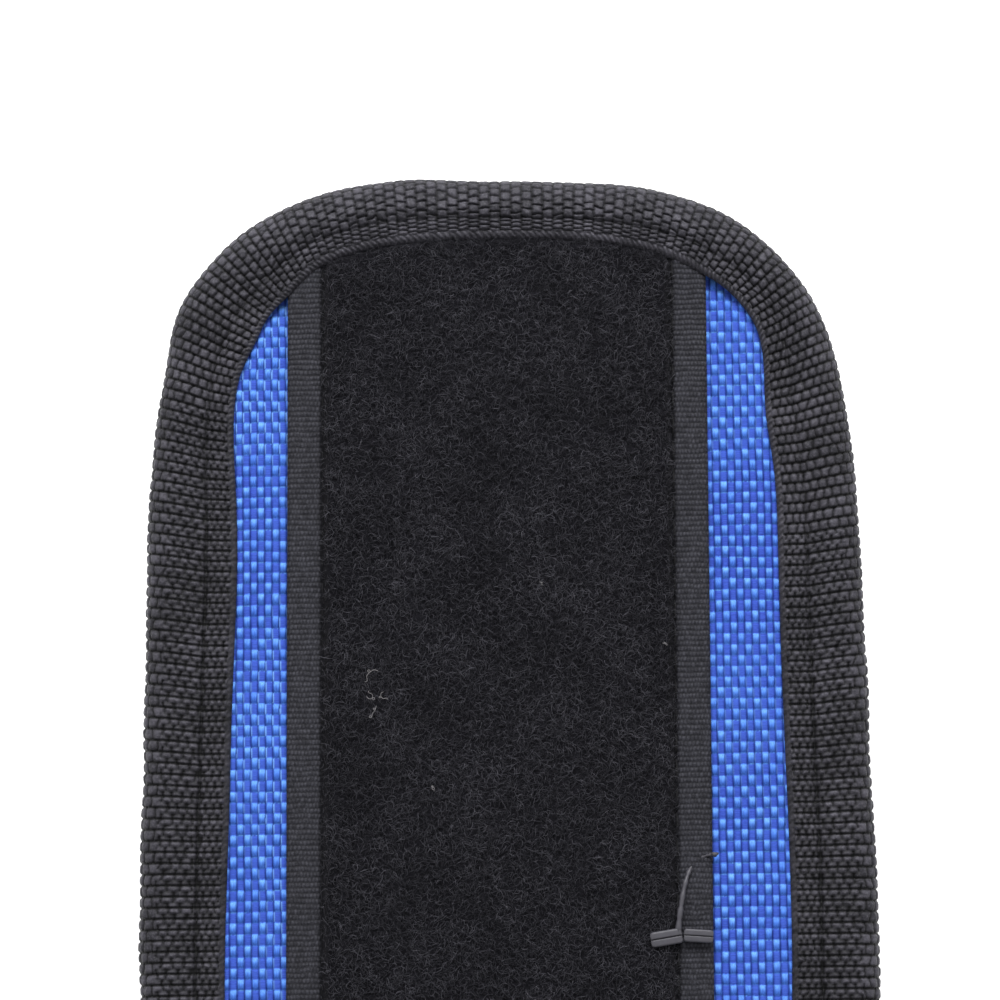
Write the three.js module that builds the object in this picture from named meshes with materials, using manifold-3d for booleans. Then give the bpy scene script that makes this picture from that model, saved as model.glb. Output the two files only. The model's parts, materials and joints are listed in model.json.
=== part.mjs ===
// Magnetic wristband: a padded strap that wraps round the wrist and closes with hook and loop tape.
// Millimetres, +Z up. The strap lies flat along Y with its outer face up and its loop end at +Y.
// The origin is under the middle of the strap, on the plane that it rests on.
import * as THREE from 'three';
import { mergeVertices } from 'three/addons/utils/BufferGeometryUtils.js';
import Module from 'manifold-3d';

const wasm = await Module();
wasm.setup();

// Strap outline. The powers shape the rounded ends: 2 would be an ellipse, more is squarer.
const strapLength = 350;
const strapWidth = 86;
const endReach = 65;
const endWidthPower = 3.1;
const endLengthPower = 4;
const endSteps = 14;

// Layers
const liningThickness = 4;
const panelThickness = 0.8;
const bindingThickness = 0.9;
const seatGap = 0.3;
const liningProud = 0.3;

// Opening that the binding leaves free on each face
const lipWidth = 10.5;
const lipTipWidth = 6.8;
const lipReach = 30;
const lipPower = 3;
const foldRings = 6;

// Hook and loop tape
const tapeWidth = 50;
const selvageWidth = 3.5;
const tapeBacking = 0.6;
const loopPileHeight = 0.9;
const hookTapeThickness = 1.5;

// Magnets
const magnetDiameter = 20;
const magnetThickness = 1.5;
const magnetSteps = 24;

// Sections. Seven of them go once round the wrist, and their lengths grow along the strap by what
// lets the hook end close flat on the loop end. From the loop end on, the first ones carry the loop
// tape, the next ones the magnets, and the last ones the hook tape on the other face.
const sectionCount = 11;
const turnSections = 7;
const loopTapeCount = 4;
const magnetCount = 5;
const hookTapeCount = 3;
const loopEndSection = 20.6;
const hookEndSection = 38.4;
const sectionGap = 0.3;
const closingGap = 0.5;

// Tag pin, placed from the tip of the loop end, over the edge of the pile
const pinBarLength = 7.3;
const pinBarWidth = 2.1;
const pinBarHeight = 0.9;
const pinBarSlot = 0.5;
const pinBarSlotDepth = 0.3;
const pinBarTurn = 5 * Math.PI / 180;
const pinFromTip = 90.4;
const pinThread = 0.5;
const pinThreadRun = 8.2;
const pinThreadSway = 2.2;
const pinNub = 0.9;
const pinSteps = 16;
const pinSides = 8;
const pinRouteShares = [[0, 0], [0.05, 0.5], [0.33, 0.75], [1, 1]];

// Heights, from the resting plane up
const lowerLipBottom = liningProud;
const lowerLipTop = lowerLipBottom + bindingThickness;
const liningEdgeBottom = lowerLipTop + seatGap;
const panelBottom = liningThickness + seatGap;
const panelTop = panelBottom + panelThickness;
const upperLipBottom = panelTop + seatGap;
const upperLipTop = upperLipBottom + bindingThickness;
const loopTapeBottom = panelTop + seatGap;
const selvageTop = loopTapeBottom + tapeBacking;
const pileTop = selvageTop + loopPileHeight;
const magnetBottom = liningThickness - magnetThickness;
const hookRecessTop = hookTapeThickness + seatGap;
const hingeHeight = (lowerLipBottom + upperLipTop) / 2;
const foldRadius = upperLipTop - hingeHeight;
const overrun = strapWidth / 2;

// Places across and along the strap
const pileWidth = tapeWidth - 2 * selvageWidth;
const recessWidth = tapeWidth + 2 * seatGap;
const pinFromAxis = pileWidth / 2 - seatGap;
const magnetFromAxis = (strapWidth / 2 - lipWidth) / 2;
const firstMagnetSection = loopTapeCount + 1;
const firstHookSection = sectionCount - hookTapeCount + 1;

// Section lengths and the rows of the hinges between them, counted from the loop end
const foldAngle = 2 * Math.PI / turnSections;
const wrapRise = pileTop + closingGap;
const lengthGrowth = 2 * wrapRise * Math.tan(foldAngle / 2) / turnSections;
const innerSections = sectionCount - 2;
const meanSection = (strapLength - loopEndSection - hookEndSection) / innerSections;
const tipRow = strapLength / 2;

function hingeRow(after) {
  let row = tipRow - loopEndSection;
  for (let index = 2; index <= after; index++) {
    row -= meanSection + (index - 1 - (innerSections + 1) / 2) * lengthGrowth;
  }
  return row;
}

// Outlines

function stripOutline(edge, inset) {
  const points = [];
  const straight = strapLength / 2 - edge.tip - edge.reach;
  for (let step = 0; step < 4 * endSteps; step++) {
    const angle = step / endSteps * Math.PI / 2;
    const across = Math.abs(Math.cos(angle)) ** (2 / edge.widthPower);
    const along = Math.abs(Math.sin(angle)) ** (2 / edge.lengthPower);
    const side = step % (2 * endSteps) === endSteps ? 0 : Math.sign(Math.cos(angle));
    const end = step % (2 * endSteps) === 0 ? 0 : Math.sign(Math.sin(angle));
    const normal = new THREE.Vector2(
      side * edge.widthPower / edge.halfWidth * across ** (edge.widthPower - 1),
      end * edge.lengthPower / edge.reach * along ** (edge.lengthPower - 1),
    ).normalize();
    const point = new THREE.Vector2(side * edge.halfWidth * across, end * (straight + edge.reach * along));
    points.push(point.addScaledVector(normal, -inset));
  }
  return points;
}

const strapEdge = {
  halfWidth: strapWidth / 2,
  tip: 0,
  reach: endReach,
  widthPower: endWidthPower,
  lengthPower: endLengthPower,
};
const lipEdge = {
  halfWidth: strapWidth / 2 - lipWidth,
  tip: lipTipWidth,
  reach: lipReach,
  widthPower: lipPower,
  lengthPower: lipPower,
};

// Solids

function toSolid(geometry) {
  const bare = geometry.clone();
  bare.deleteAttribute('normal');
  bare.deleteAttribute('uv');
  const merged = mergeVertices(bare);
  return new wasm.Manifold(new wasm.Mesh({
    numProp: 3,
    vertProperties: Float32Array.from(merged.attributes.position.array),
    triVerts: Uint32Array.from(merged.index.array),
  }));
}

function prism(points, bottom, top) {
  const depth = top - bottom;
  const geometry = new THREE.ExtrudeGeometry(new THREE.Shape(points), { depth, bevelEnabled: false });
  geometry.translate(0, 0, bottom);
  return toSolid(geometry);
}

function block(left, right, front, back, bottom, top) {
  const corners = [[left, front], [right, front], [right, back], [left, back]];
  return prism(corners.map(([x, y]) => new THREE.Vector2(x, y)), bottom, top);
}

// A closed skin through rings of equally many points, with a flat lid on the first and the last
function loft(rings) {
  const count = rings[0].points.length;
  const positions = [];
  const triangles = [];
  for (const ring of rings) {
    for (const point of ring.points) {
      positions.push(point.x, point.y, ring.height);
    }
  }
  for (let level = 0; level < rings.length - 1; level++) {
    for (let index = 0; index < count; index++) {
      const next = (index + 1) % count;
      const low = level * count;
      const high = low + count;
      triangles.push(low + index, low + next, high + next);
      triangles.push(low + index, high + next, high + index);
    }
  }
  const last = (rings.length - 1) * count;
  for (let index = 1; index < count - 1; index++) {
    triangles.push(0, index + 1, index);
    triangles.push(last, last + index, last + index + 1);
  }
  const geometry = new THREE.BufferGeometry();
  geometry.setAttribute('position', new THREE.Float32BufferAttribute(positions, 3));
  geometry.setIndex(triangles);
  return toSolid(geometry);
}

// The strap's outline with its edge rolled to a half round of the given radius
function rolledStrip(radius) {
  const rings = [];
  for (let step = 0; step <= foldRings; step++) {
    const angle = (step / foldRings - 1 / 2) * Math.PI;
    rings.push({
      points: stripOutline(strapEdge, foldRadius - radius * Math.cos(angle)),
      height: hingeHeight + radius * Math.sin(angle),
    });
  }
  return loft(rings);
}

// Room of one section: square above the hinges, and cut back below them so that the strap can curl
function sectionRoom(index) {
  const slope = Math.tan(foldAngle / 2) * (hingeHeight + seatGap);
  const first = index === 1;
  const last = index === sectionCount;
  const back = first ? tipRow + overrun : hingeRow(index - 1) - sectionGap / 2;
  const front = last ? -tipRow - overrun : hingeRow(index) + sectionGap / 2;
  const profile = [
    [front, pileTop + overrun],
    [front, hingeHeight],
    [front + (last ? 0 : slope), -seatGap],
    [back - (first ? 0 : slope), -seatGap],
    [back, hingeHeight],
    [back, pileTop + overrun],
  ];
  const shape = new THREE.Shape(profile.map(([row, height]) => new THREE.Vector2(row, height)));
  const geometry = new THREE.ExtrudeGeometry(shape, { depth: strapWidth + overrun, bevelEnabled: false });
  geometry.translate(0, 0, -(strapWidth + overrun) / 2);
  geometry.applyMatrix4(new THREE.Matrix4().makeBasis(
    new THREE.Vector3(0, 1, 0),
    new THREE.Vector3(0, 0, 1),
    new THREE.Vector3(1, 0, 0),
  ));
  return toSolid(geometry);
}

// Whole soft pieces

function bindingTape() {
  const opening = prism(stripOutline(lipEdge, 0), -overrun, overrun);
  return rolledStrip(foldRadius).subtract(rolledStrip(foldRadius - bindingThickness)).subtract(opening);
}

function outerPanel() {
  return prism(stripOutline(strapEdge, foldRadius), panelBottom, panelTop);
}

function magnetCentre(index, side) {
  return new THREE.Vector2(side * magnetFromAxis, (hingeRow(index - 1) + hingeRow(index)) / 2);
}

function disc(centre, radius, bottom, top) {
  const geometry = new THREE.CylinderGeometry(radius, radius, top - bottom, magnetSteps);
  geometry.rotateX(Math.PI / 2);
  geometry.translate(centre.x, centre.y, (bottom + top) / 2);
  return toSolid(geometry);
}

function paddedLining() {
  const hookFront = -tipRow - overrun;
  const hookBack = hingeRow(firstHookSection - 1);
  const core = prism(stripOutline(strapEdge, foldRadius), liningEdgeBottom, liningThickness);
  const pad = prism(stripOutline(lipEdge, seatGap), 0, liningThickness);
  let lining = core.add(pad).subtract(
    block(-recessWidth / 2, recessWidth / 2, hookFront, hookBack, -overrun, hookRecessTop),
  );
  for (let index = firstMagnetSection; index < firstMagnetSection + magnetCount; index++) {
    for (const side of [-1, 1]) {
      lining = lining.subtract(
        disc(magnetCentre(index, side), magnetDiameter / 2 + seatGap, magnetBottom - seatGap, overrun),
      );
    }
  }
  return lining;
}

// The bar's notch and the thread's notch in the loop pile
function pinNotch() {
  const row = tipRow - pinFromTip;
  const left = pinFromAxis - pinBarLength / 2 - seatGap;
  const reach = pinBarWidth / 2 + pinBarLength / 2 * Math.sin(pinBarTurn) + seatGap;
  const threadLeft = pinFromAxis - pinThread / 2 - seatGap;
  const bar = block(left, tapeWidth / 2, row - reach, row + reach, selvageTop, overrun);
  return bar.add(block(threadLeft, tapeWidth / 2, row, row + pinThreadRun + pinNub, selvageTop, overrun));
}

function loopTape() {
  const inside = prism(stripOutline(lipEdge, seatGap), -overrun, overrun);
  const front = hingeRow(loopTapeCount);
  const backing = block(-tapeWidth / 2, tapeWidth / 2, front, tipRow, loopTapeBottom, selvageTop);
  const pile = block(-pileWidth / 2, pileWidth / 2, front, tipRow, loopTapeBottom, pileTop);
  return backing.add(pile).subtract(pinNotch()).intersect(inside);
}

function hookTape() {
  const inside = prism(stripOutline(lipEdge, seatGap), -overrun, overrun);
  const back = hingeRow(firstHookSection - 1);
  return block(-tapeWidth / 2, tapeWidth / 2, -tipRow, back, 0, hookTapeThickness).intersect(inside);
}

function tagPin() {
  const row = tipRow - pinFromTip;
  const bottom = selvageTop + seatGap;
  const barEnd = pinBarLength / 2;
  const barSide = pinBarWidth / 2;
  const slotSide = pinBarSlot / 2;
  const slotFloor = pinBarHeight - pinBarSlotDepth;
  const bar = block(-barEnd, barEnd, -barSide, barSide, 0, pinBarHeight)
    .subtract(block(-barEnd - overrun, barEnd + overrun, -slotSide, slotSide, slotFloor, overrun));
  const radius = pinThread / 2;
  const route = new THREE.CatmullRomCurve3(pinRouteShares.map(
    ([sway, run]) => new THREE.Vector3(sway * pinThreadSway, run * pinThreadRun, radius),
  ));
  const ring = new THREE.Shape();
  ring.absarc(0, 0, radius, 0, 2 * Math.PI);
  const thread = toSolid(new THREE.ExtrudeGeometry(ring, {
    steps: pinSteps,
    curveSegments: pinSides / 2,
    extrudePath: route,
    bevelEnabled: false,
  }));
  const nub = block(-pinNub / 2, pinNub / 2, -pinNub / 2, pinNub / 2, 0, pinNub)
    .translate([pinThreadSway, pinThreadRun, 0]);
  return bar.rotate([0, 0, pinBarTurn * 180 / Math.PI]).add(thread).add(nub)
    .translate([pinFromAxis, row, bottom]);
}

// Materials

function fabric(color, roughness) {
  return new THREE.MeshStandardMaterial({ color, roughness, metalness: 0, flatShading: true });
}

const finishes = {
  panel: fabric(0x4a6fd0, 0.75),
  lining: fabric(0x26262a, 0.95),
  binding: fabric(0x3b3a3e, 0.85),
  loop: fabric(0x242428, 1),
  hook: fabric(0x1e1e21, 0.6),
  pin: fabric(0x554e50, 0.4),
  magnet: new THREE.MeshStandardMaterial({ color: 0xb4b6ba, roughness: 0.3, metalness: 1 }),
};

// Assembly

const wristband = new THREE.Group();

function addPiece(name, solid, finish) {
  const { vertProperties, triVerts } = solid.getMesh();
  const geometry = new THREE.BufferGeometry();
  geometry.setAttribute('position', new THREE.BufferAttribute(Float32Array.from(vertProperties), 3));
  geometry.setIndex(Array.from(triVerts));
  const mesh = new THREE.Mesh(geometry, finishes[finish].clone());
  mesh.name = name;
  wristband.add(mesh);
}

const wholePieces = {
  binding: bindingTape(),
  panel: outerPanel(),
  lining: paddedLining(),
  loop: loopTape(),
  hook: hookTape(),
};

for (let index = 1; index <= sectionCount; index++) {
  const number = String(index).padStart(2, '0');
  const room = sectionRoom(index);
  addPiece(`outer_panel_${number}`, wholePieces.panel.intersect(room), 'panel');
  addPiece(`padded_lining_${number}`, wholePieces.lining.intersect(room), 'lining');
  const binding = wholePieces.binding.intersect(room);
  if (index === 1 || index === sectionCount) {
    addPiece(`binding_tip_${number}`, binding, 'binding');
  } else {
    for (const half of binding.decompose()) {
      const side = half.boundingBox().min[0] < 0 ? 'left' : 'right';
      addPiece(`binding_${side}_${number}`, half, 'binding');
    }
  }
  if (index <= loopTapeCount) {
    addPiece(`loop_tape_${number}`, wholePieces.loop.intersect(room), 'loop');
  }
  if (index >= firstHookSection) {
    addPiece(`hook_tape_${number}`, wholePieces.hook.intersect(room), 'hook');
  }
  if (index >= firstMagnetSection && index < firstMagnetSection + magnetCount) {
    for (const side of [-1, 1]) {
      const name = `magnet_${number}_${side < 0 ? 'left' : 'right'}`;
      const magnet = disc(magnetCentre(index, side), magnetDiameter / 2, magnetBottom, liningThickness);
      addPiece(name, magnet, 'magnet');
    }
  }
}
addPiece('tag_pin', tagPin(), 'pin');

export default wristband;
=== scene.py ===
"""Magnetic wristband: woven cloth, binding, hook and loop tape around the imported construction."""
import json
import math

import bpy
import numpy as np
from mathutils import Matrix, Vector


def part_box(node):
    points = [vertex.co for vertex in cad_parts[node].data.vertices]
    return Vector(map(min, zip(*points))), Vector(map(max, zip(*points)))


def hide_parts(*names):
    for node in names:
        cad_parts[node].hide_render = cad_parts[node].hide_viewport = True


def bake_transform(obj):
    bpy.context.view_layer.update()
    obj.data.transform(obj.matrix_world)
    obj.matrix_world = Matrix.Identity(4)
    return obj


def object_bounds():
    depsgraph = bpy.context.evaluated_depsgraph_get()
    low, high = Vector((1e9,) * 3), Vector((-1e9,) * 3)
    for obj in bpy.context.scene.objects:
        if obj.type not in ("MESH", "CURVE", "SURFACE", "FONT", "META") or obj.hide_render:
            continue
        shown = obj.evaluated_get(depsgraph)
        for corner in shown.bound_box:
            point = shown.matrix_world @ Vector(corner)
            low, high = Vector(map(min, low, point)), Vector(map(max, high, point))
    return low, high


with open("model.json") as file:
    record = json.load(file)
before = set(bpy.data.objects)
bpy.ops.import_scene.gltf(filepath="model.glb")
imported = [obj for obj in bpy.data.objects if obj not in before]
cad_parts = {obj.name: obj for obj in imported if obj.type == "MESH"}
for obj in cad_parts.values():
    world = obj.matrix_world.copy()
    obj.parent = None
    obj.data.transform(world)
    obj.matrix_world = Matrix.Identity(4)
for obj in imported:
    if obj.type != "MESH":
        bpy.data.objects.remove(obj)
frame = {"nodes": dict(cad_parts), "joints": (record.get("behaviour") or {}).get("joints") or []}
cad_box = [list(corner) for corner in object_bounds()]

# Arrays are in millimetres, and meshes in metres
UNIT = 0.001


def node_box(name):
    """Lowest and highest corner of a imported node, in millimetres."""
    return [np.array(corner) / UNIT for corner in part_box(name)]


# Sizes read from the frame
TIP = cad_box[1][1] / UNIT
HINGES = sorted((joint["pos_m"][1] / UNIT for joint in frame["joints"]), reverse=True)
HINGE_HEIGHT = frame["joints"][0]["pos_m"][2] / UNIT
SECTIONS = len(HINGES) + 1
LAST = SECTIONS - 1
EDGES = [TIP] + HINGES + [-TIP]
# Sections are numbered from 1, so the first entry only fills a place
MIDDLES = [0] + [(EDGES[i] + EDGES[i + 1]) / 2 for i in range(SECTIONS)]
(LIP_INNER, _, LIP_BOTTOM), (HALF_WIDTH, _, LIP_TOP) = node_box("binding_right_06")
(_, _, PANEL_BOTTOM), (_, _, PANEL_TOP) = node_box("outer_panel_07")
LINING_TOP = node_box("padded_lining_07")[1][2]
TAPE_HALF, _, PILE_TOP = node_box("loop_tape_03")[1]
LOOP_TAPE_END = node_box("loop_tape_04")[0][1]
HOOK_TAPE_START = node_box("hook_tape_09")[1][1]
HOOK_TAPE_TOP = node_box("hook_tape_10")[1][2]
PIN_LOW = node_box("tag_pin")[0]

# Outline of the strap and of the opening in the binding
END_REACH = 65
END_WIDTH_POWER = 3.1
END_LENGTH_POWER = 4
LIP_TIP = 6.8
LIP_REACH = 30
LIP_POWER = 3

# Weaves: yarn and pick of the cloth, rib of the binding, rib of the tape's selvage
YARN = 0.86
PICK = 1.29
RIB = 1.28
SELVAGE_RIB = 0.62
SELVAGE = 4.1

# The first pieces are sampled finer and carry the loop tape; the hook tape begins under a later one
FINE_PIECES = 4
HOOK_FIRST = 8
MAGNET_SECTIONS = range(5, 10)

random = np.random.default_rng(7)


# Small helpers


def smooth(t):
    """Rises from 0 to 1 as t does, with level ends."""
    t = np.clip(t, 0, 1)
    return t * t * (3 - 2 * t)


def window(value, start, rise, end, fall):
    """1 between start and end, with a soft rise inside the one and a soft fall inside the other."""
    return smooth((value - start) / rise) * smooth((end - value) / fall)


def bulge(value, middle, width):
    """1 in the middle, falling to 0 over about twice the width."""
    return np.exp(-((value - middle) / width) ** 2)


def arch(share):
    """0 at both ends of a share from 0 to 1, and 1 in its middle."""
    return np.sin(np.pi * np.clip(share, 0, 1))


def dome(share, squareness, power=1):
    """Like an arch, but flatter on top for more squareness."""
    return np.clip(1 - np.abs(2 * share - 1) ** squareness, 0, 1) ** power


def signed_power(value, power):
    """A power of a number's size that keeps its sign."""
    return np.sign(value) * np.abs(value) ** power


def ripple(x, y, scale, seed):
    """Slow random hills between about -1 and 1, with the given width."""
    source = np.random.default_rng(seed)
    total = np.zeros(np.broadcast(x, y).shape)
    for _ in range(7):
        angle = source.uniform(0, 2 * np.pi)
        size = scale * source.uniform(0.6, 1.7)
        phase = source.uniform(0, 2 * np.pi)
        total += np.sin((x * np.cos(angle) + y * np.sin(angle)) * 2 * np.pi / size + phase)
    return total / 3.2


def hashed(a, b, seed):
    """A repeatable random share for each pair of whole numbers."""
    mixed = np.sin(a * 12.9898 + b * 78.233 + seed * 37.719) * 43758.5453
    return mixed - np.floor(mixed)


def lip_share(x, y):
    """1 on the inner edge of the binding, less inside it."""
    past = np.maximum(np.abs(y) - (TIP - LIP_TIP - LIP_REACH), 0) / LIP_REACH
    return ((np.abs(x) / LIP_INNER) ** LIP_POWER + past ** LIP_POWER) ** (1 / LIP_POWER)


def lip_depth(x):
    """How far from the strap's tip the inner edge of the binding lies, at a place across the strap."""
    share = np.clip(np.abs(x) / LIP_INNER, 0, 1)
    return LIP_TIP + LIP_REACH * (1 - (1 - share ** LIP_POWER) ** (1 / LIP_POWER))


# Meshes


def new_mesh(name, points, faces, flat_faces, attributes):
    """A mesh object from points in millimetres and arrays of faces, the last flat_faces of them flat."""
    sizes = np.concatenate([np.full(len(part), part.shape[1]) for part in faces])
    corners = np.concatenate([part.ravel() for part in faces])
    places = (points * UNIT).astype(np.float32).ravel()
    mesh = bpy.data.meshes.new(name)
    mesh.vertices.add(len(points))
    mesh.vertices.foreach_set("co", places)
    mesh.loops.add(len(corners))
    mesh.loops.foreach_set("vertex_index", corners.astype(np.int32))
    mesh.polygons.add(len(sizes))
    starts = np.concatenate([[0], np.cumsum(sizes)[:-1]])
    mesh.polygons.foreach_set("loop_start", starts.astype(np.int32))
    rounded = np.ones(len(sizes), bool)
    if flat_faces:
        rounded[-flat_faces:] = False
    mesh.polygons.foreach_set("use_smooth", rounded)
    mesh.update(calc_edges=True)
    mesh.attributes.new("place", "FLOAT_VECTOR", "POINT").data.foreach_set("vector", places)
    for key, values in attributes.items():
        layer = mesh.attributes.new(key, "FLOAT", "POINT")
        layer.data.foreach_set("value", np.asarray(values, np.float32).ravel())
    piece = bpy.data.objects.new(name, mesh)
    bpy.context.scene.collection.objects.link(piece)
    return piece


END_ROW_SHARE = 0.06


def ended(rows):
    """Rows with one more close to each end, so that the end caps don't bend the shading."""
    first = rows[0] + (rows[1] - rows[0]) * END_ROW_SHARE
    last = rows[-1] + (rows[-2] - rows[-1]) * END_ROW_SHARE
    return np.concatenate([rows[:1], first[None], rows[1:-1], last[None], rows[-1:]])


def skin(name, runs, **attributes):
    """Closed skins through rings of points; each run is an array of rings, rows by points by 3."""
    points, sides, caps, start = [], [], [], 0
    for rings in map(ended, runs):
        rows, count = rings.shape[:2]
        index = start + np.arange(rows * count).reshape(rows, count)
        following = np.roll(index, -1, axis=1)
        quads = np.stack([index[:-1], following[:-1], following[1:], index[1:]], axis=-1).reshape(-1, 4)
        flat = rings.reshape(-1, 3)
        a, b, c = (flat[quads[:, corner] - start] for corner in (0, 1, 2))
        inward = np.einsum("ij,ij->", a - flat.mean(0), np.cross(b - a, c - a)) < 0
        sides.append(quads[:, ::-1] if inward else quads)
        ends = np.stack([index[0][::-1], index[-1]])
        caps.append(ends[:, ::-1] if inward else ends)
        points.append(flat)
        start += rows * count
    values = {key: np.concatenate([ended(part).ravel() for part in parts]) for key, parts in attributes.items()}
    return new_mesh(name, np.concatenate(points), sides + caps, 2 * len(runs), values)


def band(name, x, y, z, back, **values):
    """A piece with the surface x, y, z, closed by a flat back at a level; its attributes are 0 there."""
    count = len(x)
    corners = np.stack([x[:, [-1, 0]], y[:, [-1, 0]], np.full((count, 2), back)], axis=-1)
    rings = np.concatenate([np.stack([x, y, z], axis=-1), corners], axis=1)
    bare = np.zeros((count, 2))
    return skin(name, [rings], **{key: [np.concatenate([part, bare], axis=1)] for key, part in values.items()})


def strands(name, paths, radius, sides=4, tone=None):
    """Closed thin tubes along many paths of equally many points; radius is one number or one per point."""
    count, steps = paths.shape[:2]
    along = np.gradient(paths, axis=1)
    along /= np.linalg.norm(along, axis=2, keepdims=True) + 1e-9
    up = np.where(np.abs(along[..., 2:]) > 0.9, [[[1.0, 0, 0]]], [[[0, 0, 1.0]]])
    across = np.cross(along, up)
    across /= np.linalg.norm(across, axis=2, keepdims=True) + 1e-9
    over = np.cross(across, along)
    angle = np.arange(sides) / sides * 2 * np.pi
    reach = np.broadcast_to(radius, (count, steps))[:, :, None, None]
    ring = np.cos(angle)[:, None] * across[:, :, None] + np.sin(angle)[:, None] * over[:, :, None]
    points = (paths[:, :, None] + reach * ring).reshape(-1, 3)
    index = np.arange(count * steps * sides).reshape(count, steps, sides)
    following = np.roll(index, -1, axis=2)
    quads = np.stack([index[:, :-1], index[:, 1:], following[:, 1:], following[:, :-1]], axis=-1).reshape(-1, 4)
    ends = np.concatenate([index[:, 0], index[:, -1, ::-1]])
    if tone is None:
        tone = random.random(count)
    tones = np.repeat(tone, steps * sides)
    return new_mesh(name, points, [quads, ends], 0, {"tone": tones})


# Places of the samples within a yarn, from crest to crest of a pick or tape rib, and from crest to
# crest of a binding rib, each fine and coarse
YARN_SHARES = ([0, 0.1, 0.26, 0.42, 0.58, 0.74, 0.9], [0, 0.2, 0.5, 0.8])
CREST_SHARES = ([0, 0.16, 0.3, 0.4, 0.5, 0.6, 0.7, 0.84], [0, 0.3, 0.5, 0.7])
RIB_SHARES = ([0, 0.07, 0.17, 0.3, 0.46, 0.56, 0.64, 0.76, 0.87, 0.94], [0, 0.3, 0.5, 0.7, 0.84])


def by_detail(number, choices):
    """The fine choice for the first pieces, and the coarse one for the others."""
    return choices[0] if number <= FINE_PIECES else choices[1]


def samples(first, last, pitch, shares):
    """Places from first to last, a whole number of pitches apart, with the given shares in each pitch."""
    count = round(abs(last - first) / pitch)
    step = pitch if last >= first else -pitch
    places = first + step * (np.arange(count)[:, None] + np.array(shares)).ravel()
    return np.append(places, first + step * count)


def span(number, start=0, end=0):
    """First and last place of a piece; at the strap's tips it lies start and end inside them."""
    first = TIP - start if number == 1 else MIDDLES[number]
    return first, -TIP + end if number == LAST else MIDDLES[number + 1]


def stands_for(kind, number):
    """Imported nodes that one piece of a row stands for; the last piece takes the last section's too."""
    return [f"{kind}_{section:02d}" for section in ([number, SECTIONS] if number == LAST else [number])]


def crest_near(place, pitch):
    """The crest of a pick or rib nearest to a place: pieces meet there, where the weave is level."""
    return (round(place / pitch - 0.5) + 0.5) * pitch


def finish_piece(piece, number, slot, material, *nodes):
    """Dresses a piece, hides the imported nodes it stands for and bakes its transform."""
    piece.data.materials.append(material)
    if nodes:
        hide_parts(*nodes)
    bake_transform(piece)


# Materials


class Shader:
    """The node tree of a material or world, with a few shorthand calls."""

    def __init__(self, owner):
        owner.use_nodes = True
        self.owner, self.tree = owner, owner.node_tree
        self.surface = self.tree.nodes.get("Principled BSDF")

    def node(self, kind, **values):
        """Adds a node: i0 or a capitalised name is an input, and any other name a setting."""
        made = self.tree.nodes.new("ShaderNode" + kind)
        for key, value in values.items():
            if key[0].isupper():
                self.plug(made.inputs[key], value)
            elif key[1:].isdigit():
                self.plug(made.inputs[int(key[1:])], value)
            else:
                setattr(made, key, value)
        return made

    def plug(self, socket, value):
        """Links another socket, or sets a number, a vector or a colour without its alpha."""
        if isinstance(value, bpy.types.NodeSocket):
            self.tree.links.new(value, socket)
        else:
            socket.default_value = (*value, 1) if socket.type == "RGBA" else value

    def attribute(self, name, output="Fac"):
        return self.node("Attribute", attribute_name=name).outputs[output]

    def maths(self, operation, a, b):
        return self.node("Math", operation=operation, i0=a, i1=b).outputs[0]

    def mix(self, share, a, b):
        return self.node("Mix", data_type="RGBA", i0=share, i6=a, i7=b).outputs[2]

    def tint(self, colour, other, value, span, shares):
        """Mixes in another colour, by a share that changes as the value crosses the span."""
        return self.mix(self.ranged(value, *span, *shares), colour, other)

    def noise(self, scale, detail=2.0, roughness=0.5, stretch=(1, 1, 1)):
        """Noise over the piece at rest, scaled by stretch along each axis."""
        place = self.node("VectorMath", operation="MULTIPLY", i0=self.attribute("place", "Vector"), i1=stretch)
        return self.node("TexNoise", Vector=place.outputs[0], Scale=scale, Detail=detail,
                         Roughness=roughness).outputs[0]

    def ranged(self, value, low, high, to_low, to_high):
        return self.node("MapRange", i0=value, i1=low, i2=high, i3=to_low, i4=to_high).outputs[0]

    def bump(self, height, strength, distance):
        made = self.node("Bump", Height=height, Strength=strength, Distance=distance)
        self.plug(self.surface.inputs["Normal"], made.outputs[0])

    def seen(self):
        """1 for rays of the camera, a mirror or glass, and 0 for those that only carry light."""
        rays = self.node("LightPath").outputs
        mirrored = self.maths("MAXIMUM", rays["Is Glossy Ray"], rays["Is Transmission Ray"])
        return self.maths("MAXIMUM", rays["Is Camera Ray"], mirrored)

    def finish(self, colour, roughness, **rest):
        """Sets the surface's sockets; underscores stand for the spaces in their names."""
        for key, value in {"Base_Color": colour, "Roughness": roughness, **rest}.items():
            self.plug(self.surface.inputs[key.replace("_", " ")], value)
        return self.owner


def new_shader(name):
    return Shader(bpy.data.materials.new(name))


def scaled(colour, factor):
    return [factor * part for part in colour]


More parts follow.
